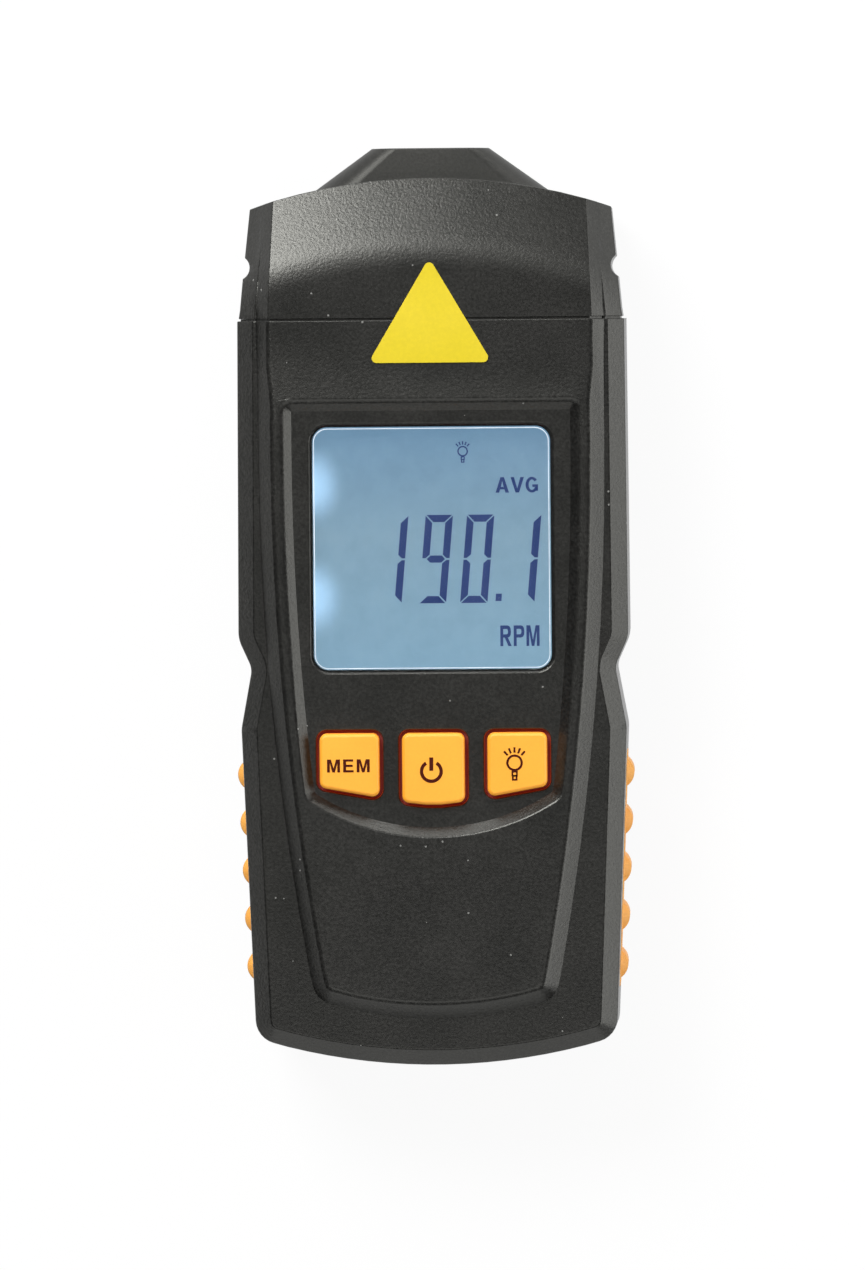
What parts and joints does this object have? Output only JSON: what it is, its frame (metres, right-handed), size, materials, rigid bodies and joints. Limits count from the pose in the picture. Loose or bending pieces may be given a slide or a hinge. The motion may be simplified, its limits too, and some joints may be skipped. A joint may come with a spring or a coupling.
{
  "type": "laser tachometer",
  "caption": "Hand-held laser tachometer with a backlit display, orange rubber keys and side grips, a sloped head with an optical nose, and a battery door that slides out of the tail.",
  "frame": {"origin": "middle of the bounding box, on the surface the back lies on", "axes": "+Y toward the optical nose, +Z out of the display, +X to the right of the display"},
  "size_m": [0.057, 0.1312, 0.0295],
  "materials": {
    "black_plastic": "fine moulded texture",
    "orange_rubber": "satin silicone",
    "clear_window": "polished",
    "red_filter": "polished",
    "lcd": "satin polariser",
    "light_guide": "diffuse",
    "pale_plastic": "satin",
    "dark_plastic": "satin",
    "board": "solder mask",
    "contact_rubber": "satin",
    "steel": "plated",
    "brass": "turned",
    "cell_jacket": "printed film on a steel can",
    "label_yellow": "sticker film"
  },
  "bodies": {
    "case": {"front_shell": "black_plastic", "back_shell": "black_plastic", "head_cap": "black_plastic", "optical_nose": "black_plastic", "nose_window": "red_filter", "optics_block": "dark_plastic", "laser_barrel": "brass", "receiver_lens": "clear_window", "photodiode": "dark_plastic", "sensor_board": "board", "display_window": "clear_window", "lcd_glass": "lcd", "lcd_frame": "pale_plastic", "backlight_panel": "light_guide", "zebra_strip": "contact_rubber", "main_board": "board", "controller_chip": "dark_plastic", "board_screws": "steel", "keypad_web": "orange_rubber", "left_grip": "orange_rubber", "right_grip": "orange_rubber", "cell_left": "cell_jacket", "cell_middle": "cell_jacket", "cell_right": "cell_jacket", "cell_springs": "steel", "cell_contacts": "steel", "case_screws": "steel", "label_plate": "label_yellow"},
    "memory_key": {"memory_key": "orange_rubber"},
    "power_key": {"power_key": "orange_rubber"},
    "light_key": {"light_key": "orange_rubber"},
    "battery_door": {"battery_door": "black_plastic"}
  },
  "joints": [
    {"name": "memory_key_press", "type": "slide", "parent": "case", "child": "memory_key", "axis": [0, 0, -1], "range_m": [0, 0.001], "stiffness_N_per_m": 1000},
    {"name": "power_key_press", "type": "slide", "parent": "case", "child": "power_key", "axis": [0, 0, -1], "range_m": [0, 0.001], "stiffness_N_per_m": 1000},
    {"name": "light_key_press", "type": "slide", "parent": "case", "child": "light_key", "axis": [0, 0, -1], "range_m": [0, 0.001], "stiffness_N_per_m": 1000},
    {"name": "battery_door_slide", "type": "slide", "parent": "case", "child": "battery_door", "axis": [0, -1, 0], "range_m": [0, 0.056]}
  ]
}
